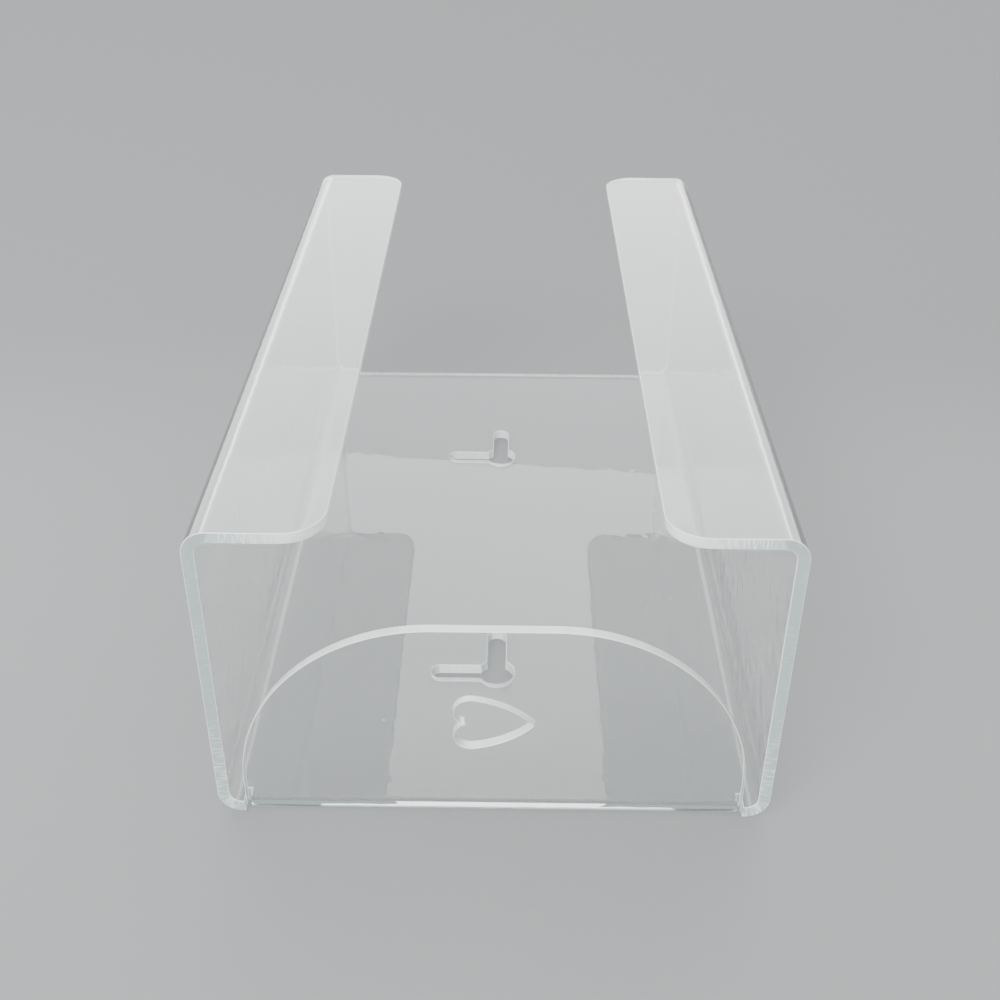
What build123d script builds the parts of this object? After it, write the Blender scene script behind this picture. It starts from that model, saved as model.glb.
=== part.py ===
from build123d import *
import os

from math import asin, degrees

# Wall tissue box: one clear sheet, cut flat and then bent warm into a box with no front and one
# open end. It lies on its back here: X runs across it, +Y from the end flap to the open end, and
# +Z away from the wall. The origin is under the middle of its outline, on the face that meets
# the wall. Every size is in millimetres.

# Sheet, and the inside of each bend
sheet = 3.0
bend_radius = 3.0

# Case, over the outside of its bends
case_width = 140.0
case_length = 240.0
case_depth = 86.0

# Front flanges, turned in from the side walls with a mouth left between them
flange_width = 32.0
flange_corner_radius = 10.0

# End flap, turned up from the back between two slits, each a small land away from a side bend
flap_height = 60.5
flap_corner_radius = 48.0
flap_proud = 1.7
slit_width = 0.8
slit_land = 0.7
slit_overrun = 2.0

# Heart through the flap, on its side with its point to +X
heart_length = 19.2
heart_lobe_radius = 3.9
heart_lobe_overlap = 0.4
heart_flank_angle = 8.0
heart_centre_height = 31.8

# Keyholes on the back's centre line, one slot up the wall and one across it
keyhole_spacing = 120.0
keyhole_diameter = 10.0
keyhole_slot_width = 5.0
keyhole_slot_reach = 18.5

# Places that follow from those sizes
outer_bend = bend_radius + sheet
middle_bend = bend_radius + sheet / 2
far_end = (case_length + flap_proud) / 2
near_end = far_end - case_length
flap_width = case_width - 2 * (outer_bend + slit_land + slit_width)
flap_face = near_end - flap_proud
flap_bend_line = flap_face + outer_bend
slit_end = flap_bend_line + slit_overrun
mouth_width = case_width - 2 * flange_width
heart_lobe_offset = heart_lobe_radius - heart_lobe_overlap / 2
slot_run = keyhole_slot_reach - keyhole_slot_width / 2
keyhole_rows_middle = (near_end + far_end - keyhole_slot_reach + keyhole_diameter / 2) / 2

with BuildPart() as holder:
    # Back, side walls and flanges: the middle of the sheet is drawn as one folded line
    wall_x = (case_width - sheet) / 2
    flange_z = case_depth - sheet / 2
    with BuildSketch(Plane.XZ.offset(-far_end)):
        with BuildLine():
            FilletPolyline(
                (-mouth_width / 2, flange_z),
                (-wall_x, flange_z),
                (-wall_x, sheet / 2),
                (wall_x, sheet / 2),
                (wall_x, flange_z),
                (mouth_width / 2, flange_z),
                radius=middle_bend,
            )
        trace(line_width=sheet)
    extrude(amount=case_length)

    # Free corners of the flanges, at both ends
    upright_edges = holder.edges().filter_by(Axis.Z)
    flange_corners = upright_edges.filter_by_position(Axis.X, -wall_x + sheet, wall_x - sheet)
    fillet(flange_corners, flange_corner_radius)

    # Room for the flap's bend and its two slits, taken out of the back's near end
    with BuildSketch():
        with Locations((0, slit_end)):
            Rectangle(
                flap_width + 2 * slit_width,
                slit_end - near_end,
                align=(Align.CENTER, Align.MAX),
            )
    extrude(amount=sheet, mode=Mode.SUBTRACT)

    # Flap, its bend and the tongue that joins them to the back
    with BuildSketch(Plane.YZ):
        with BuildLine():
            FilletPolyline(
                (slit_end, sheet / 2),
                (flap_face + sheet / 2, sheet / 2),
                (flap_face + sheet / 2, flap_height),
                radius=middle_bend,
            )
        trace(line_width=sheet)
    extrude(amount=flap_width / 2, both=True)
    flap_corners = holder.edges(Select.LAST).filter_by(Axis.Y).group_by(Axis.Z)[-1]
    largest_corner = min(flap_height - outer_bend, flap_width / 2) - sheet
    fillet(flap_corners, min(flap_corner_radius, largest_corner))

    # Heart: each half is a lobe that starts in the notch, then a flank that runs to the point
    notch_angle = 180 + degrees(asin(heart_lobe_offset / heart_lobe_radius))
    shoulder_angle = 90 - heart_flank_angle
    heart_plane = Plane(
        origin=(0, flap_face, heart_centre_height), x_dir=(1, 0, 0), z_dir=(0, -1, 0)
    )
    with BuildSketch(heart_plane):
        with BuildLine():
            lobe = CenterArc(
                (heart_lobe_radius - heart_length / 2, heart_lobe_offset),
                heart_lobe_radius,
                start_angle=notch_angle,
                arc_size=shoulder_angle - notch_angle,
            )
            TangentArc(lobe @ 1, (heart_length / 2, 0), tangent=lobe % 1)
            mirror(about=Plane.XZ)
        make_face()
    extrude(amount=-sheet, mode=Mode.SUBTRACT)

    # Keyholes: a screw's head goes in at the round hole and its shank rests in a slot's end
    with BuildSketch():
        for row in (-1, 1):
            hole_y = keyhole_rows_middle + row * keyhole_spacing / 2
            with Locations((0, hole_y)):
                Circle(keyhole_diameter / 2)
            with Locations((0, hole_y + slot_run / 2)):
                SlotCenterToCenter(slot_run, keyhole_slot_width, rotation=90)
            with Locations((-slot_run / 2, hole_y)):
                SlotCenterToCenter(slot_run, keyhole_slot_width)
    extrude(amount=sheet, mode=Mode.SUBTRACT)

holder.part.label = "holder"

os.makedirs("parts", exist_ok=True)
export_step(holder.part, "parts/holder.step")
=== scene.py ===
# Wall tissue box in clear acrylic: the flat blank is cut, its edges are eased, and it is bent warm.

from math import asin, atan2, cos, degrees, pi, radians, sin, sqrt

import bmesh
import bpy
from bpy.props import (
    FloatProperty,
    FloatVectorProperty,
    IntProperty,
    PointerProperty,
)
from bpy.types import Operator, Panel, PropertyGroup
from mathutils import Matrix, Vector


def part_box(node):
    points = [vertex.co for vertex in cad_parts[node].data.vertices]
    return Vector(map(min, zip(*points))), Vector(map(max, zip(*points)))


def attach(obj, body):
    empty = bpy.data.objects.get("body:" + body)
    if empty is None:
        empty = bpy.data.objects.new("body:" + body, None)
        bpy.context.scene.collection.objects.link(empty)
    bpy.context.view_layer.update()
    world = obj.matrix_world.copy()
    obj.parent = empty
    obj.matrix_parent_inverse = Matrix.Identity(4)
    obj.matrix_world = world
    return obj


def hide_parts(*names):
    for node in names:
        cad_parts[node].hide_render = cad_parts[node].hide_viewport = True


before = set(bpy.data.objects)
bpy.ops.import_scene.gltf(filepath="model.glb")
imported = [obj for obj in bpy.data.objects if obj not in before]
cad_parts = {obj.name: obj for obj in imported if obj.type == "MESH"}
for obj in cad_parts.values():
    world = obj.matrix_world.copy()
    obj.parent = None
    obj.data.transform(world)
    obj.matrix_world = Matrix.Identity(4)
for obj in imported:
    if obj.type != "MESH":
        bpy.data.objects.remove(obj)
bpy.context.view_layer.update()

bl_info = {
    "name": "Wall tissue box",
    "version": (1, 0, 0),
    "blender": (4, 5, 0),
    "location": "View3D > Sidebar > Tissue box",
    "description": "Cuts and bends one clear sheet into a wall tissue box, and lights it",
    "category": "Add Mesh",
}

HOLDER_LOW, HOLDER_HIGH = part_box("holder")
MM = 0.001

# Lengths in metres: a point this near a line is on it, and points this near each other are one
ON_LINE = 1e-7
SAME_POINT = 1e-6

# What each face of the blank is, kept as its material index while the blank is made
POLISHED, CUT, RIM = range(3)


# Properties

class SheetSizes(PropertyGroup):
    """The sheet, its bends and the outline of its blank."""

    sheet: FloatProperty(
        name="Sheet", description="Thickness of the sheet", default=3 * MM, unit="LENGTH"
    )
    bend_radius: FloatProperty(
        name="Bend radius", description="Inside radius of each bend", default=3 * MM, unit="LENGTH"
    )
    bend_steps: IntProperty(
        name="Bend steps", description="Facets round each bend", default=18, min=4, max=48
    )
    heat_reach: FloatProperty(
        name="Heat reach",
        description="How fast the warmth kept at the mesh's points falls away from a bend",
        default=5 * MM,
        unit="LENGTH",
    )
    edge_ease: FloatProperty(
        name="Edge ease",
        description="How far the polish takes down each cut edge",
        default=0.18 * MM,
        unit="LENGTH",
    )
    kerf_taper: FloatProperty(
        name="Kerf taper",
        description="How much more the laser takes off on the inner face",
        default=0.25 * MM,
        unit="LENGTH",
    )
    flange_width: FloatProperty(
        name="Flange width",
        description="Front flange, over its bend",
        default=32 * MM,
        unit="LENGTH",
    )
    flange_corner: FloatProperty(
        name="Flange corner",
        description="Radius of a flange's free corners",
        default=10 * MM,
        unit="LENGTH",
    )
    flap_height: FloatProperty(
        name="Flap height", description="End flap, from the wall", default=60.5 * MM, unit="LENGTH"
    )
    flap_corner: FloatProperty(
        name="Flap corner",
        description="Radius of the flap's shoulders",
        default=48 * MM,
        unit="LENGTH",
    )
    flap_proud: FloatProperty(
        name="Flap proud",
        description="How far the flap stands out past the walls",
        default=1.7 * MM,
        unit="LENGTH",
    )
    slit_width: FloatProperty(
        name="Slit width",
        description="Gap on each side of the flap's root",
        default=0.8 * MM,
        unit="LENGTH",
    )
    slit_land: FloatProperty(
        name="Slit land",
        description="Flat left between a slit and a side bend",
        default=0.7 * MM,
        unit="LENGTH",
    )
    slit_overrun: FloatProperty(
        name="Slit overrun",
        description="How far a slit runs past the flap's bend",
        default=2 * MM,
        unit="LENGTH",
    )


class CutOuts(PropertyGroup):
    """The heart in the flap and the keyholes in the back."""

    heart_length: FloatProperty(
        name="Heart length",
        description="Heart, from lobes to point",
        default=19.2 * MM,
        unit="LENGTH",
    )
    heart_lobe_radius: FloatProperty(
        name="Heart lobe", description="Radius of each lobe", default=3.9 * MM, unit="LENGTH"
    )
    heart_lobe_overlap: FloatProperty(
        name="Lobe overlap",
        description="How far the two lobes overlap",
        default=0.4 * MM,
        unit="LENGTH",
    )
    heart_flank_angle: FloatProperty(
        name="Flank angle",
        description="Slope of a flank where its lobe ends",
        default=radians(8),
        subtype="ANGLE",
    )
    heart_notch_radius: FloatProperty(
        name="Notch radius",
        description="Rounding of the sheet between the lobes, more than the ease and the taper",
        default=0.45 * MM,
        unit="LENGTH",
    )
    heart_height: FloatProperty(
        name="Heart height",
        description="Heart's middle, from the wall",
        default=31.8 * MM,
        unit="LENGTH",
    )
    keyhole_spacing: FloatProperty(
        name="Keyhole spacing",
        description="Between the two keyholes",
        default=120 * MM,
        unit="LENGTH",
    )
    keyhole_diameter: FloatProperty(
        name="Keyhole diameter",
        description="Round hole for a screw's head",
        default=10 * MM,
        unit="LENGTH",
    )
    keyhole_slot: FloatProperty(
        name="Keyhole slot",
        description="Width of a slot for a screw's shank",
        default=5 * MM,
        unit="LENGTH",
    )
    keyhole_reach: FloatProperty(
        name="Keyhole reach",
        description="Slot's far end, from the hole's middle",
        default=18.5 * MM,
        unit="LENGTH",
    )


class AcrylicFinish(PropertyGroup):
    """Colours and surface of the clear sheet."""

    refraction: FloatProperty(
        name="Refraction", description="Refractive index of acrylic", default=1.49
    )
    mirrorings: IntProperty(
        name="Mirrorings", description="A ray mirrored more times than this is let out", default=2
    )
    face_colour: FloatVectorProperty(
        name="Faces",
        description="Tint of the polished faces",
        default=(0.96, 0.968, 0.966),
        size=3,
        subtype="COLOR",
    )
    face_shade: FloatVectorProperty(
        name="Face shade",
        description="Tint of the light that falls through a face",
        default=(0.86, 0.87, 0.87),
        size=3,
        subtype="COLOR",
    )
    face_deep: FloatVectorProperty(
        name="Face deep",
        description="Tint of a much mirrored ray that a face lets out",
        default=(0.45, 0.47, 0.47),
        size=3,
        subtype="COLOR",
    )
    edge_colour: FloatVectorProperty(
        name="Cut edges",
        description="Tint of the cut edges where they are greyest",
        default=(0.52, 0.64, 0.62),
        size=3,
        subtype="COLOR",
    )
    # Where the cut edges are whitest, partly from random clouds and partly from painted light along the sheet
    edge_white: FloatVectorProperty(
        name="White edges",
        description="Tint of the cut edges where they are whitest",
        default=(0.985, 0.99, 0.988),
        size=3,
        subtype="COLOR",
    )
    # White of the rims: partly frosting, partly a painted highlight along every edge
    rim_colour: FloatVectorProperty(
        name="Rims",
        description="Tint of the eased rims",
        default=(0.97, 0.98, 0.98),
        size=3,
        subtype="COLOR",
    )
    edge_shade: FloatVectorProperty(
        name="Edge shade",
        description="Tint of the light that falls through a cut edge or a rim",
        default=(0.7, 0.74, 0.74),
        size=3,
        subtype="COLOR",
    )
    edge_deep: FloatVectorProperty(
        name="Edge deep",
        description="Tint of a much mirrored ray that a cut edge or a rim lets out",
        default=(0.45, 0.5, 0.5),
        size=3,
        subtype="COLOR",
    )
    edge_clear: FloatProperty(
        name="Edge clearness",
        description="Share of a cut edge that stays clear",
        default=0.25,
        subtype="FACTOR",
    )
    rim_clear: FloatProperty(
        name="Rim clearness",
        description="Share of an eased rim that stays clear",
        default=0.1,
        subtype="FACTOR",
    )
    edge_glow: FloatProperty(
        name="Edge glow",
        description="Share of a cut edge or a rim that lets light through, scattered",
        default=0.2,
        subtype="FACTOR",
    )
    striation_pitch: FloatProperty(
        name="Striation pitch",
        description="Between the laser's marks on a cut edge",
        default=0.5 * MM,
        unit="LENGTH",
    )
    striation_depth: FloatProperty(
        name="Striation depth",
        description="Depth of the laser's marks",
        default=0.03 * MM,
        unit="LENGTH",
    )
    sheet_warp: FloatProperty(
        name="Sheet warp",
        description="Height of the sheet's own slow waves",
        default=0.015 * MM,
        unit="LENGTH",
    )
    bend_warp: FloatProperty(
        name="Bend warp",
        description="Height of the ripples where the sheet is fully warm",
        default=0.05 * MM,
        unit="LENGTH",
    )


class StudioSetUp(PropertyGroup):
    """Floor, light and camera."""

    floor_colour: FloatVectorProperty(
        name="Floor",
        description="Plain pale floor",
        default=(0.2, 0.204, 0.206),
        size=3,
        subtype="COLOR",
    )
    floor_side: FloatProperty(
        name="Floor side", description="Side of the floor", default=16.0, unit="LENGTH"
    )
    floor_gap: FloatProperty(
        name="Floor gap", description="Air left under the sheet", default=0.25 * MM, unit="LENGTH"
    )
    sky_colour: FloatVectorProperty(
        name="Sky colour",
        description="Tint of the light from all round",
        default=(0.97, 0.985, 1.0),
        size=3,
        subtype="COLOR",
    )
    sky_strength: FloatProperty(name="Sky", description="Light from all round", default=1.35)
    panel_strength: FloatProperty(
        name="Panel", description="Light of the soft panel behind the box", default=1.6
    )
    card_size: FloatVectorProperty(
        name="Card size",
        description="Width and height of the white card that the sheet mirrors",
        default=(1.4, 0.8),
        size=2,
        unit="LENGTH",
    )
    card_gap: FloatProperty(
        name="Card gap", description="Between the box and the card", default=0.06, unit="LENGTH"
    )
    card_foot: FloatProperty(
        name="Card foot",
        description="Height of the card's lower edge before it leans",
        default=83.7 * MM,
        unit="LENGTH",
    )
    card_lean: FloatProperty(
        name="Card lean",
        description="How far the card leans in its own plane",
        default=radians(3.6),
        subtype="ANGLE",
    )
    card_power: FloatProperty(
        name="Card power", description="Power of the card", default=11.0, unit="POWER"
    )
    key_place: FloatVectorProperty(
        name="Key place",
        description="Where the overhead soft box hangs",
        default=(-0.6, -0.95, 1.15),
        size=3,
        subtype="TRANSLATION",
    )
    key_aim: FloatProperty(
        name="Key aim",
        description="Height above the origin that the soft box points at",
        default=30 * MM,
        unit="LENGTH",
    )
    key_size: FloatVectorProperty(
        name="Key size",
        description="Width and depth of the overhead soft box",
        default=(0.9, 0.6),
        size=2,
        unit="LENGTH",
    )
    key_power: FloatProperty(
        name="Key power", description="Power of the overhead soft box", default=46.0, unit="POWER"
    )
    camera_place: FloatVectorProperty(
        name="Camera",
        description="Where the camera stands",
        default=(2.5 * MM, -349.6 * MM, 244.1 * MM),
        size=3,
        subtype="TRANSLATION",
    )
    camera_down: FloatProperty(
        name="Down",
        description="How far the camera looks down",
        default=radians(32.82),
        subtype="ANGLE",
    )
    camera_left: FloatProperty(
        name="Left",
        description="How far the camera turns left",
        default=radians(0.375),
        subtype="ANGLE",
    )
    camera_roll: FloatProperty(
        name="Roll", description="How far the camera leans", default=radians(0.449), subtype="ANGLE"
    )
    lens: FloatProperty(
        name="Lens",
        description="Focal length on a 36 mm frame",
        default=45.88,
        subtype="DISTANCE_CAMERA",
    )


# Node trees written as sums

class Field:
    """One socket of a node tree, so that maths on it is written as ordinary maths."""

    def __init__(self, graph, socket):
        self.graph = graph
        self.socket = socket

    def out(self, name):
        """Another output of the same node."""
        return Field(self.graph, self.socket.node.outputs[name])

    def maths(self, operation, *others):
        """A Math node of that operation on this value and the others."""
        values = dict(enumerate((self,) + others))
        return self.graph.add("ShaderNodeMath", {"operation": operation}, values)

    def __add__(self, other):
        return self.maths("ADD", other)

    __radd__ = __add__

    def __sub__(self, other):
        return self.maths("SUBTRACT", other)

    def __rsub__(self, other):
        return (self * -1) + other

    def __mul__(self, other):
        return self.maths("MULTIPLY", other)

    __rmul__ = __mul__

    def __truediv__(self, other):
        return self.maths("DIVIDE", other)

    def least(self, other):
        return self.maths("MINIMUM", other)

    def most(self, other):
        return self.maths("MAXIMUM", other)

    def clamped(self, low, high):
        return self.most(low).least(high)

    def above(self, level):
        """1 where the value is above that level, and 0 elsewhere."""
        return self.maths("GREATER_THAN", level)


class Graph:
    """A node tree under construction."""

    def __init__(self, tree):
        self.tree = tree
        tree.nodes.clear()

    def add(self, kind, settings=None, inputs=None, output=0):
        """A node of that kind: its settings first, then the values or links of its sockets."""
        node = self.tree.nodes.new(kind)
        for name, value in (settings or {}).items():
            if name == "stops":
                set_stops(node.color_ramp, value)
            else:
                setattr(node, name, value)
        for key, value in (inputs or {}).items():
            if isinstance(value, Field):
                self.tree.links.new(value.socket, node.inputs[key])
            else:
                node.inputs[key].default_value = value
        return Field(self, node.outputs[output]) if node.outputs else None


def set_stops(ramp, stops):
    """Gives a colour ramp its stops, each a position and a grey."""
    while len(ramp.elements) < len(stops):
        ramp.elements.new(1.0)
    for element, (position, grey) in zip(ramp.elements, stops):
        element.position = position
        element.color = (grey, grey, grey, 1.0)


def material_graph(name):
    """A new material and the graph of its nodes."""
    material = bpy.data.materials.new(name)
    material.use_nodes = True
    return material, Graph(material.node_tree)


def noise(graph, place, scale, detail, roughness):
    """A noise texture's value, which is 0.5 on average."""
    return graph.add(
        "ShaderNodeTexNoise",
        inputs={"Vector": place, "Scale": scale, "Detail": detail, "Roughness": roughness},
    )


def stored(graph, name, output):
    """A value that the bend has kept on the sheet."""
    return graph.add("ShaderNodeAttribute", {"attribute_name": name}, output=output)


def mix_colours(graph, share, first, second):
    """The first colour where the share is 0, and the second where it is 1."""
    return graph.add(
        "ShaderNodeMix",
        {"data_type": "RGBA"},
        {"Factor": share, "A": (*first, 1), "B": (*second, 1)},
        output="Result",
    )


def smooth_step(graph, value, low, high):
    """Rises smoothly from 0 to 1 between two values."""
    return graph.add(
        "ShaderNodeMapRange",
        {"interpolation_type": "SMOOTHSTEP"},
        {"Value": value, "From Min": low, "From Max": high},
    )


# Outline of the flat blank, in metres: u runs across the sheet and v along it

def arc(centre, radius, start, end, steps=24):
    """Points along an arc, its angles in degrees."""
    turns = [radians(start + (end - start) * i / steps) for i in range(steps + 1)]
    return [(centre[0] + radius * cos(a), centre[1] + radius * sin(a)) for a in turns]


class Blank:
    """The places of the flat blank's bends and edges."""

    def __init__(self, sizes):
        self.outer = sizes.bend_radius + sizes.sheet
        self.bend = (sizes.bend_radius + sizes.sheet / 2) * pi / 2
        self.back_half = (HOLDER_HIGH.x - HOLDER_LOW.x) / 2 - self.outer
        self.wall = HOLDER_HIGH.z - HOLDER_LOW.z - 2 * self.outer
        self.half = self.back_half + self.wall + 2 * self.bend + sizes.flange_width - self.outer
        self.far_end = HOLDER_HIGH.y
        self.near_end = HOLDER_LOW.y + sizes.flap_proud
        self.flap_bend = HOLDER_LOW.y + self.outer
        self.flap_end = self.flap_bend - self.bend - (sizes.flap_height - self.outer)
        self.flap_half = self.back_half - sizes.slit_land - sizes.slit_width
        self.slit_end = self.flap_bend + sizes.slit_overrun


def right_outline(blank, sizes):
    """The blank's edge on its right half, from the flap's top to the middle of the far end."""
    corner = sizes.flange_corner
    shoulder = sizes.flap_corner
    shoulder_middle = (blank.flap_half - shoulder, blank.flap_end + shoulder)
    slit_side = blank.flap_half + sizes.slit_width
    return [
        (0, blank.flap_end),
        *arc(shoulder_middle, shoulder, -90, 0, steps=72),
        (blank.flap_half, blank.slit_end),
        (slit_side, blank.slit_end),
        (slit_side, blank.near_end),
        *arc((blank.half - corner, blank.near_end + corner), corner, -90, 0),
        *arc((blank.half - corner, blank.far_end - corner), corner, 0, 90),
        (0, blank.far_end),
    ]


def keyhole(cuts, middle):
    """A round hole with a slot towards +v and one towards -u, from the first slot's tip round to its left."""
    hole = cuts.keyhole_diameter / 2
    half = cuts.keyhole_slot / 2
    run = cuts.keyhole_reach - half
    side = degrees(asin(half / hole))
    outline = [
        *arc((0, run), half, 90, 180, steps=16),
        *arc((0, 0), hole, 90 + side, 180 - side, steps=4),
        *arc((-run, 0), half, 90, 270, steps=32),
        *arc((0, 0), hole, 180 + side, 270, steps=16),
        *arc((0, 0), hole, 270, 450 - side, steps=36),
        *arc((0, run), half, 0, 90, steps=16),
    ]
    return [(u, middle + v) for u, v in outline]


def heart(cuts, middle):
    """A heart on its side, its point to +u: its upper half from notch to point, then the mirrored half."""
    lobe = cuts.heart_lobe_radius
    notch = cuts.heart_notch_radius
    offset = lobe - cuts.heart_lobe_overlap / 2
    lobe_middle = Vector((lobe - cuts.heart_length / 2, offset))
    crossing = lobe_middle.x - sqrt(lobe ** 2 - offset ** 2)
    lobe_start = 180 + degrees(asin((offset - notch) / lobe))
    lobe_end = 90 - degrees(cuts.heart_flank_angle)
    half = arc((crossing - notch, 0), notch, 0, 90, steps=6)
    half += arc(lobe_middle, lobe, lobe_start, lobe_end, steps=36)

    # Flank: an arc that leaves the lobe without a corner and meets the point
    shoulder = Vector(half[-1])
    point = Vector((cuts.heart_length / 2, 0))
    inward = (lobe_middle - shoulder).normalized()
    chord = point - shoulder
    radius = chord.length_squared / (2 * chord.dot(inward))
    centre = shoulder + inward * radius
    turns = [degrees(atan2(*(p - centre).yx)) for p in (shoulder, point)]
    half += arc(centre, radius, *turns)[1:]
    mirrored = [(u, -v) for u, v in reversed(half)]
    return [(u, middle + v) for u, v in half + mirrored[1:-1]]


def halves(loop):
    """Splits a closed outline at u = 0 into its right and left sides, each from its top to its bottom."""
    points = []
    for (u0, v0), (u1, v1) in zip(loop, loop[1:] + loop[:1]):
        points.append((0.0 if abs(u0) < ON_LINE else u0, v0))
        if min(u0, u1) < -ON_LINE and max(u0, u1) > ON_LINE:
            points.append((0.0, v0 + (v1 - v0) * u0 / (u0 - u1)))
    top = max((p for p in points if p[0] == 0), key=lambda p: p[1])
    bottom = min((p for p in points if p[0] == 0), key=lambda p: p[1])
    start = points.index(top)
    points = points[start:] + points[:start]
    split = points.index(bottom)
    one, other = points[: split + 1], [top] + points[:split - 1:-1]
    return (one, other) if max(one)[0] > ON_LINE else (other, one)


def cut_blank(sizes, cuts):
    """The flat blank as a solid mesh, cut to its outline, with a loop at each facet of each bend."""
    blank = Blank(sizes)
    rows_middle = (
        blank.near_end + blank.far_end - cuts.keyhole_reach + cuts.keyhole_diameter / 2
    ) / 2
    heart_v = blank.flap_bend - blank.bend - (cuts.heart_height - blank.outer)
    loops = [
        keyhole(cuts, rows_middle + cuts.keyhole_spacing / 2),
        keyhole(cuts, rows_middle - cuts.keyhole_spacing / 2),
        heart(cuts, heart_v),
    ]
    edge = right_outline(blank, sizes)
    sides = [halves(loop) for loop in loops]
    right = edge + [p for side in sides for p in side[0]]
    left = [(-u, v) for u, v in edge] + [p for side in sides for p in side[1]]
    mesh = bmesh.new()
    for outline in (right, left):
        mesh.faces.new([mesh.verts.new((u, v, 0)) for u, v in outline])
    bmesh.ops.remove_doubles(mesh, verts=mesh.verts[:], dist=SAME_POINT)
    add_bend_loops(mesh, blank, sizes)
    give_thickness(mesh, sizes)
    return mesh


def add_bend_loops(mesh, blank, sizes):
    """Cuts the flat blank along every facet line of its bends."""
    steps = [blank.bend * i / sizes.bend_steps for i in range(sizes.bend_steps + 1)]
    starts = (blank.back_half, blank.back_half + blank.bend + blank.wall)
    for side in (-1, 1):
        for start in starts:
            for step in steps:
                cut_line(mesh, mesh.faces[:], (side * (start + step), 0), (1, 0))
    for step in steps:
        tongue = [f for f in mesh.faces if abs(f.calc_center_median().x) < blank.back_half]
        cut_line(mesh, tongue, (0, blank.flap_bend - step), (0, 1))


def cut_line(mesh, faces, place, across):
    """Cuts those faces along a line through a place."""
    parts = set(faces)
    for face in faces:
        parts.update(face.edges)
        parts.update(face.verts)
    bmesh.ops.bisect_plane(
        mesh, geom=list(parts), dist=ON_LINE, plane_co=(*place, 0), plane_no=(*across, 0)
    )


def give_thickness(mesh, sizes):
    """Lifts a second face off the flat blank, then tapers and eases every cut edge."""
    bmesh.ops.recalc_face_normals(mesh, faces=mesh.faces[:])
    if mesh.faces[:][0].normal.z > 0:
        bmesh.ops.reverse_faces(mesh, faces=mesh.faces[:])
    lifted = bmesh.ops.extrude_face_region(mesh, geom=mesh.faces[:], use_keep_orig=True)
    top = [part for part in lifted["geom"] if isinstance(part, bmesh.types.BMVert)]
    bmesh.ops.translate(mesh, verts=top, vec=(0, 0, sizes.sheet))
    bmesh.ops.recalc_face_normals(mesh, faces=mesh.faces[:])
    for face in mesh.faces:
        lies_flat = abs(face.normal.z) > 0.5
        face.material_index = POLISHED if lies_flat else CUT
    taper_cuts(top, sizes)
    rims = [e for e in mesh.edges if len({f.material_index for f in e.link_faces}) == 2]
    bmesh.ops.bevel(
        mesh, geom=rims, offset=sizes.edge_ease, segments=2, profile=0.5, affect="EDGES",
        material=RIM, clamp_overlap=False,
    )
    is_cut = mesh.faces.layers.int.new("cut_edge")
    is_rim = mesh.faces.layers.int.new("eased_rim")
    for face in mesh.faces:
        face[is_cut] = int(face.material_index == CUT)
        face[is_rim] = int(face.material_index == RIM)
        face.material_index = POLISHED
        face.smooth = True


def taper_cuts(top, sizes):
    """Draws the inner face's outline back, because the laser's cut is wider where it enters."""
    steps = {}
    for vert in top:
        cuts = [face.normal for face in vert.link_faces if face.material_index == CUT]
        if cuts:
            steps[vert] = (cuts[0] + cuts[-1]) / (1 + cuts[0].dot(cuts[-1]))
    for vert, step in steps.items():
        vert.co -= step * sizes.kerf_taper


# The rule that bends the blank

BEND_INPUTS = (
    "Sheet", "Bend radius", "Back half width", "Wall", "Flap bend", "Flap half width", "Heat reach",
)


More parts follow.
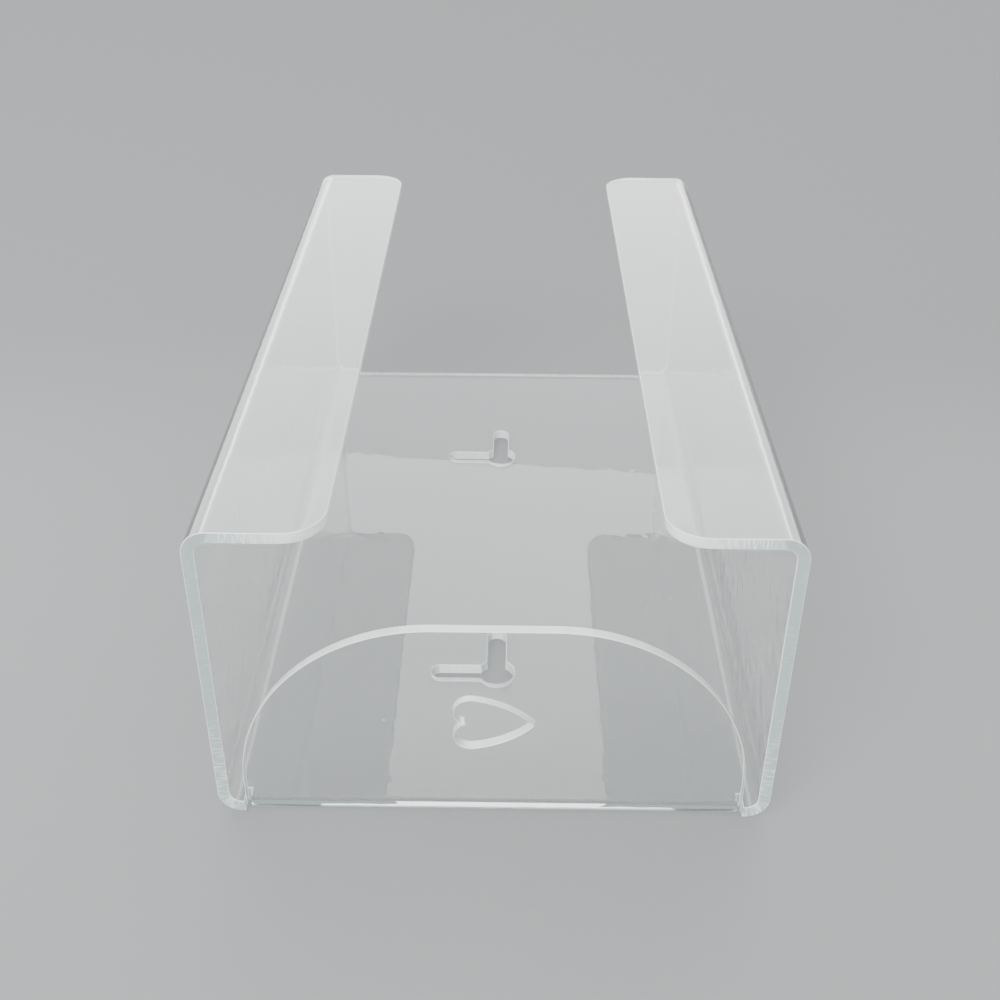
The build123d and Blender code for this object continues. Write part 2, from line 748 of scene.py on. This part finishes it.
def bend_tree(face_material, edge_material, rim_material):
    """A tree that wraps the flat blank round its side bends and its flap's bend."""
    tree = bpy.data.node_groups.new("Bend the blank", "GeometryNodeTree")
    tree.interface.new_socket("Geometry", in_out="INPUT", socket_type="NodeSocketGeometry")
    for name in BEND_INPUTS:
        tree.interface.new_socket(name, in_out="INPUT", socket_type="NodeSocketFloat")
    tree.interface.new_socket("Geometry", in_out="OUTPUT", socket_type="NodeSocketGeometry")
    graph = Graph(tree)
    group = graph.add("NodeGroupInput")
    sheet, radius, back_half, wall, flap_bend, flap_half, heat_reach = (
        group.out(name) for name in BEND_INPUTS
    )

    flat = graph.add("GeometryNodeInputPosition")
    flat_u = graph.add("ShaderNodeSeparateXYZ", inputs={0: flat})
    flat_v = flat_u.out("Y")
    from_axis = (radius + sheet) - flat_u.out("Z")
    middle = radius + sheet / 2
    bend = middle * (pi / 2)
    reach = flat_u.maths("ABSOLUTE")

    # Side bends: back, first bend, wall, second bend, flange
    past_back = reach - back_half
    first = past_back.clamped(0, bend)
    up_wall = (past_back - bend).clamped(0, wall)
    second = (past_back - bend - wall).clamped(0, bend)
    along_flange = (past_back - bend * 2 - wall).most(0)
    turn = (first + second) / middle
    out = reach.least(back_half) + from_axis * turn.maths("SINE") - along_flange
    x = out * flat_u.maths("SIGN")
    z = radius + sheet - from_axis * turn.maths("COSINE") + up_wall

    # Flap: its bend, then straight up. A tenth of the sheet more takes in the flap's own sides
    on_flap = (flap_half + sheet * 0.1 - reach).above(0)
    past_flap = (flap_bend - flat_v).most(0) * on_flap
    flap_turn = past_flap.least(bend) / middle
    y = flat_v + past_flap - from_axis * flap_turn.maths("SINE")
    lift = from_axis * (1 - flap_turn.maths("COSINE")) + (past_flap - bend).most(0)

    # Warmth, from how near each point is to a bend. Off the flap, 1 m is added to its bend's distance.
    # It is kept at the mesh's points, and a side wall's points all lie on bends, so a wall is warm all over
    side_distance = bend_distance(reach, back_half, bend).least(
        bend_distance(reach, back_half + bend + wall, bend)
    )
    flap_distance = bend_distance(flat_v, flap_bend - bend, bend) + (1 - on_flap)
    nearest = side_distance.least(flap_distance).most(0)
    warmth = (nearest / heat_reach * -1).maths("EXPONENT")

    kept = group
    for name, kind, value in (("flat_place", "FLOAT_VECTOR", flat), ("warmth", "FLOAT", warmth)):
        kept = graph.add(
            "GeometryNodeStoreNamedAttribute",
            {"data_type": kind, "domain": "POINT"},
            {"Geometry": kept, "Name": name, "Value": value},
        )
    place = graph.add("ShaderNodeCombineXYZ", inputs={"X": x, "Y": y, "Z": z + lift})
    bent = graph.add("GeometryNodeSetPosition", inputs={"Geometry": kept, "Position": place})
    real = graph.add("GeometryNodeRealizeInstances", inputs={"Geometry": bent})
    clad = graph.add("GeometryNodeSetMaterial", inputs={"Geometry": real, "Material": face_material})
    for mark, material in (("cut_edge", edge_material), ("eased_rim", rim_material)):
        marked = graph.add("GeometryNodeInputNamedAttribute", {"data_type": "INT"}, {"Name": mark})
        clad = graph.add(
            "GeometryNodeSetMaterial",
            inputs={"Geometry": clad, "Selection": marked, "Material": material},
        )
    graph.add("NodeGroupOutput", inputs={"Geometry": clad})
    return tree


def bend_distance(along, start, bend):
    """Distance over the flat blank from a bend that starts there, negative inside it."""
    return (along - start - bend / 2).maths("ABSOLUTE") - bend / 2


def set_inputs(modifier, values):
    """Sets a tree's inputs by the identifiers of their sockets."""
    for item in modifier.node_group.interface.items_tree:
        if item.name in values and item.in_out == "INPUT":
            modifier[item.identifier] = values[item.name]


def finished_mesh(piece, name):
    """The piece as its modifiers leave it, as a plain mesh."""
    graph = bpy.context.evaluated_depsgraph_get()
    mesh = bpy.data.meshes.new_from_object(piece.evaluated_get(graph), depsgraph=graph)
    mesh.name = name
    return mesh


# Materials

def acrylic_shader(graph, finish, sockets):
    """The sheet's own shader, with what one of its surfaces sets."""
    return graph.add(
        "ShaderNodeBsdfPrincipled",
        {"distribution": "GGX"},
        {"IOR": finish.refraction, **sockets},
    )


def let_glow(graph, finish, surface, colour):
    """Mixes in the light that a cut edge lets through, scattered."""
    glow = graph.add("ShaderNodeBsdfTranslucent", inputs={"Color": colour})
    return graph.add("ShaderNodeMixShader", inputs={0: finish.edge_glow, 1: surface, 2: glow})


def finish_clear(graph, finish, surface, shade, deep):
    """Ends a clear material: light that falls through it, or that has been mirrored enough, leaves tinted."""
    mirrored = graph.add("ShaderNodeLightPath", output="Glossy Depth")
    falls = mirrored.out("Is Shadow Ray").most(mirrored.out("Is Diffuse Ray"))
    leaves = (mirrored - (finish.mirrorings + 0.5)).above(0).most(falls)
    tint = mix_colours(graph, falls, deep, shade)
    way_out = graph.add("ShaderNodeBsdfTransparent", inputs={"Color": tint})
    mixed = graph.add("ShaderNodeMixShader", inputs={0: leaves, 1: surface, 2: way_out})
    graph.add("ShaderNodeOutputMaterial", inputs={"Surface": mixed})


def acrylic_faces(finish):
    """Polished faces: clear, with slow waves, ripples where they are warm, and a few specks of dust."""
    material, graph = material_graph("clear_acrylic")
    place = graph.add("ShaderNodeTexCoord", output="Object")
    flat = stored(graph, "flat_place", "Vector")
    warmth = stored(graph, "warmth", "Fac")

    # Slow waves of the sheet itself, and ripples where it is warm
    wave = noise(graph, place, 26.0, 1.0, 0.3) - 0.5
    ripple = noise(graph, flat, 210.0, 1.5, 0.4) - 0.5
    height = wave * finish.sheet_warp + ripple * warmth * finish.bend_warp
    normal = graph.add(
        "ShaderNodeBump", inputs={"Strength": 1.0, "Distance": 1.0, "Height": height}
    )

    # Dust: small dots, kept only in the few cells whose random value is above this level
    dust_level = 0.93
    dust_size = 0.9
    cells = graph.add(
        "ShaderNodeTexVoronoi", {"feature": "F1"}, {"Vector": place, "Scale": 130.0}, output="Distance"
    )
    chosen = graph.add("ShaderNodeSeparateColor", inputs={0: cells.out("Color")})
    speck = ((chosen - dust_level).most(0) * dust_size - cells).above(0)

    # Roughness when clean, and what smears and dust add
    polished = 0.008
    smeared = 0.02
    dusty = 0.4
    smear = noise(graph, place, 14.0, 4.0, 0.6).clamped(0.35, 0.75)
    roughness = polished + smear * smeared + speck * dusty

    sockets = {
        "Base Color": (*finish.face_colour, 1),
        "Roughness": roughness,
        "Transmission Weight": 1.0,
        "Normal": normal,
    }
    surface = acrylic_shader(graph, finish, sockets)
    finish_clear(graph, finish, surface, finish.face_shade, finish.face_deep)
    return material


def acrylic_edges(finish, blank):
    """Cut edges: cloudy and glossy, with the laser's marks across the sheet. Painted light makes them white
    at the back and on the flange's free end, and painted shade makes them greyer up the walls.
    """
    material, graph = material_graph("cut_acrylic")
    flat = stored(graph, "flat_place", "Vector")
    warmth = stored(graph, "warmth", "Fac")

    # The laser's marks run straight through the sheet, so its thickness hardly counts
    through = (1, 1, 0.02)
    across = graph.add("ShaderNodeVectorMath", {"operation": "MULTIPLY"}, {0: flat, 1: through})
    marks = noise(graph, across, 1 / finish.striation_pitch, 1.0, 0.7)
    mark_level = 0.42
    mark_contrast = 5
    lines = 1 - ((marks - mark_level) * mark_contrast).clamped(0, 1)
    cloud = noise(graph, flat, 150.0, 2.0, 0.6).clamped(0.35, 0.65)

    # Along the sheet's half width, painted light and shade: white at the back, painted shade greyer up the
    # wall, painted light white again on the flange
    reach = graph.add("ShaderNodeSeparateXYZ", inputs={0: flat}).maths("ABSOLUTE") / blank.half
    wall = blank.back_half / blank.half
    painted_white_flange = 24 * MM
    flange = (blank.half - painted_white_flange) / blank.half
    stops = (
        (wall + 0.06, 1.0),
        (wall + 0.13, 0.8),
        (wall + 0.20, 0.3),
        (flange - 0.04, 0.2),
        (flange - 0.01, 0.05),
        (flange + 0.01, 1.0),
    )
    # Painted light and shade: a fixed brightness by place across the sheet, not the edge's own colour
    painted_light_tone = graph.add("ShaderNodeValToRGB", {"stops": stops}, {"Fac": reach})
    painted_light_tone = graph.add("ShaderNodeSeparateColor", inputs={0: painted_light_tone})

    # How much the clouds change it, and how much the marks darken it where it is warm and everywhere
    cloudiness = 0.9
    warm_marks = 1.5
    plain_marks = 0.2
    pale = painted_light_tone + (cloud - 0.5) * cloudiness - lines * warmth * warm_marks - lines * plain_marks
    colour = mix_colours(graph, pale.clamped(0, 1), finish.edge_colour, finish.edge_white)
    normal = graph.add(
        "ShaderNodeBump",
        inputs={"Strength": 0.5, "Distance": finish.striation_depth, "Height": marks},
    )

    most_rough = 0.4
    sockets = {
        "Base Color": colour,
        "Roughness": cloud * most_rough,
        "Transmission Weight": finish.edge_clear,
        "Normal": normal,
    }
    surface = let_glow(graph, finish, acrylic_shader(graph, finish, sockets), colour)
    finish_clear(graph, finish, surface, finish.edge_shade, finish.edge_deep)
    return material


def acrylic_rims(finish):
    """Eased rims of the cut edges, whitened partly as real frosting that scatters light and partly as a
    painted highlight, so that they read as white lines.
    """
    material, graph = material_graph("eased_acrylic")
    flat = stored(graph, "flat_place", "Vector")
    most_rough = 0.4
    # Nearly white and barely clear: partly frosting, partly a painted highlight standing in for light
    # refracted inside the sheet
    colour = (*finish.rim_colour, 1)
    sockets = {
        "Base Color": colour,
        "Roughness": noise(graph, flat, 320.0, 1.0, 0.5) * most_rough,
        "Transmission Weight": finish.rim_clear,
    }
    surface = let_glow(graph, finish, acrylic_shader(graph, finish, sockets), colour)
    finish_clear(graph, finish, surface, finish.edge_shade, finish.edge_deep)
    return material


def plain_floor(studio):
    """A plain pale floor, a little glossy."""
    material, graph = material_graph("floor")
    surface = graph.add(
        "ShaderNodeBsdfPrincipled",
        inputs={"Base Color": (*studio.floor_colour, 1), "Roughness": 0.55, "Specular IOR Level": 0.3},
    )
    graph.add("ShaderNodeOutputMaterial", inputs={"Surface": surface})
    return material


# Operators

class TISSUEBOX_OT_studio(Operator):
    """Set the floor, the light and the camera"""

    bl_idname = "tissuebox.studio"
    bl_label = "Set up the studio"

    def execute(self, context):
        studio = context.scene.tissue_studio
        self.lay_floor(context, studio)
        self.light_sky(context, studio)
        self.hang_key(context, studio)
        self.stand_card(context, studio)
        self.place_camera(context, studio)
        return {"FINISHED"}

    def lay_floor(self, context, studio):
        half = studio.floor_side / 2
        z = HOLDER_LOW.z - studio.floor_gap
        mesh = bpy.data.meshes.new("floor")
        corners = [(-half, -half, z), (half, -half, z), (half, half, z), (-half, half, z)]
        mesh.from_pydata(corners, [], [(0, 1, 2, 3)])
        mesh.materials.append(plain_floor(studio))
        floor = bpy.data.objects.new("floor", mesh)
        context.scene.collection.objects.link(floor)

    def light_sky(self, context, studio):
        """Light from all round, with a soft panel low behind the box for its faces to mirror."""
        world = bpy.data.worlds.new("studio")
        world.use_nodes = True
        context.scene.world = world
        graph = Graph(world.node_tree)
        way = graph.add("ShaderNodeTexCoord", output="Generated")
        x = graph.add("ShaderNodeSeparateXYZ", inputs={0: way})
        y, z = x.out("Y"), x.out("Z")

        # The panel fades in and out between these parts of a unit direction
        behind = smooth_step(graph, y, 0.35, 0.75)
        above_floor = smooth_step(graph, z, 0.02, 0.22)
        overhead = smooth_step(graph, z, 0.66, 0.86)
        aside = smooth_step(graph, x.maths("ABSOLUTE"), 0.45, 0.8)
        panel = behind * (above_floor * (1 - overhead)) * (1 - aside)

        # The sky is darker at the horizon than overhead
        horizon = 0.62
        rise = 0.5
        sky = (horizon + z.most(0) * rise) * studio.sky_strength
        light = graph.add(
            "ShaderNodeBackground",
            inputs={
                "Color": (*studio.sky_colour, 1),
                "Strength": sky + panel * studio.panel_strength,
            },
        )
        graph.add("ShaderNodeOutputWorld", inputs={"Surface": light})

    def hang_key(self, context, studio):
        """A soft box above and to the left, in front."""
        place = Vector(studio.key_place)
        aim = (Vector((0, 0, studio.key_aim)) - place).to_track_quat("-Z", "Y").to_matrix().to_4x4()
        hang_lamp(context, "key", studio.key_size, studio.key_power, Matrix.Translation(place) @ aim)

    def stand_card(self, context, studio):
        """A white card close behind the box, which only shows in reflections."""
        middle = Vector((0, HOLDER_HIGH.y + studio.card_gap, studio.card_foot + studio.card_size[1] / 2))
        upright = Matrix.Rotation(-pi / 2, 4, "X")
        stand = Matrix.Translation(middle) @ Matrix.Rotation(-studio.card_lean, 4, "Y") @ upright
        card = hang_lamp(context, "card", studio.card_size, studio.card_power, stand)
        card.visible_diffuse = False
        card.visible_transmission = False

    def place_camera(self, context, studio):
        lens = bpy.data.cameras.new("camera")
        lens.sensor_width = 36
        lens.lens = studio.lens
        lens.clip_start = 0.01
        camera = bpy.data.objects.new("camera", lens)
        camera.matrix_world = (
            Matrix.Translation(studio.camera_place)
            @ Matrix.Rotation(studio.camera_left, 4, "Z")
            @ Matrix.Rotation(pi / 2 - studio.camera_down, 4, "X")
            @ Matrix.Rotation(studio.camera_roll, 4, "Z")
        )
        context.scene.collection.objects.link(camera)
        context.scene.camera = camera


def hang_lamp(context, name, size, power, place):
    """A rectangular soft light that shines along its own -Z."""
    lamp = bpy.data.lights.new(name, "AREA")
    lamp.shape = "RECTANGLE"
    lamp.size, lamp.size_y = size
    lamp.energy = power
    holder = bpy.data.objects.new(name, lamp)
    holder.matrix_world = place
    holder.visible_camera = False
    context.scene.collection.objects.link(holder)
    return holder


class TISSUEBOX_OT_holder(Operator):
    """Cut the blank and bend it into the box"""

    bl_idname = "tissuebox.holder"
    bl_label = "Cut and bend the sheet"

    def execute(self, context):
        sizes = context.scene.tissue_sizes
        finish = context.scene.tissue_finish
        flat = cut_blank(sizes, context.scene.tissue_cuts)
        mesh = bpy.data.meshes.new("flat_blank")
        flat.to_mesh(mesh)
        flat.free()
        mesh.set_sharp_from_angle(angle=radians(50))
        piece = bpy.data.objects.new("bent_sheet", mesh)
        context.scene.collection.objects.link(piece)

        blank = Blank(sizes)
        bend = piece.modifiers.new("Bend", "NODES")
        bend.node_group = bend_tree(
            acrylic_faces(finish), acrylic_edges(finish, blank), acrylic_rims(finish)
        )
        values = (
            sizes.sheet,
            sizes.bend_radius,
            blank.back_half,
            blank.wall,
            blank.flap_bend,
            blank.flap_half,
            sizes.heat_reach,
        )
        set_inputs(bend, dict(zip(BEND_INPUTS, values)))
        weigh = piece.modifiers.new("Normals", "WEIGHTED_NORMAL")
        weigh.keep_sharp = True

        piece.data = finished_mesh(piece, "bent_sheet")
        piece.modifiers.clear()
        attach(piece, "root")
        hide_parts("holder")
        return {"FINISHED"}


class TISSUEBOX_PT_sidebar(Panel):
    """Lists the sizes and colours, then the steps"""

    bl_idname = "TISSUEBOX_PT_sidebar"
    bl_label = "Wall tissue box"
    bl_space_type = "VIEW_3D"
    bl_region_type = "UI"
    bl_category = "Tissue box"

    def draw(self, context):
        for group in GROUPS:
            values = getattr(context.scene, group)
            for name in values.bl_rna.properties.keys():
                if name not in ("name", "rna_type"):
                    self.layout.prop(values, name)
        for step in STEPS:
            self.layout.operator(step.bl_idname)


GROUPS = {
    "tissue_sizes": SheetSizes,
    "tissue_cuts": CutOuts,
    "tissue_finish": AcrylicFinish,
    "tissue_studio": StudioSetUp,
}
STEPS = (TISSUEBOX_OT_studio, TISSUEBOX_OT_holder)


def register():
    for group in GROUPS.values():
        bpy.utils.register_class(group)
    for name, group in GROUPS.items():
        setattr(bpy.types.Scene, name, PointerProperty(type=group))
    for step in STEPS:
        bpy.utils.register_class(step)
    bpy.utils.register_class(TISSUEBOX_PT_sidebar)


def unregister():
    bpy.utils.unregister_class(TISSUEBOX_PT_sidebar)
    for step in reversed(STEPS):
        bpy.utils.unregister_class(step)
    for name, group in reversed(GROUPS.items()):
        delattr(bpy.types.Scene, name)
        bpy.utils.unregister_class(group)


def main():
    register()
    bpy.ops.tissuebox.studio()
    bpy.ops.tissuebox.holder()


if __name__ == "__main__":
    main()
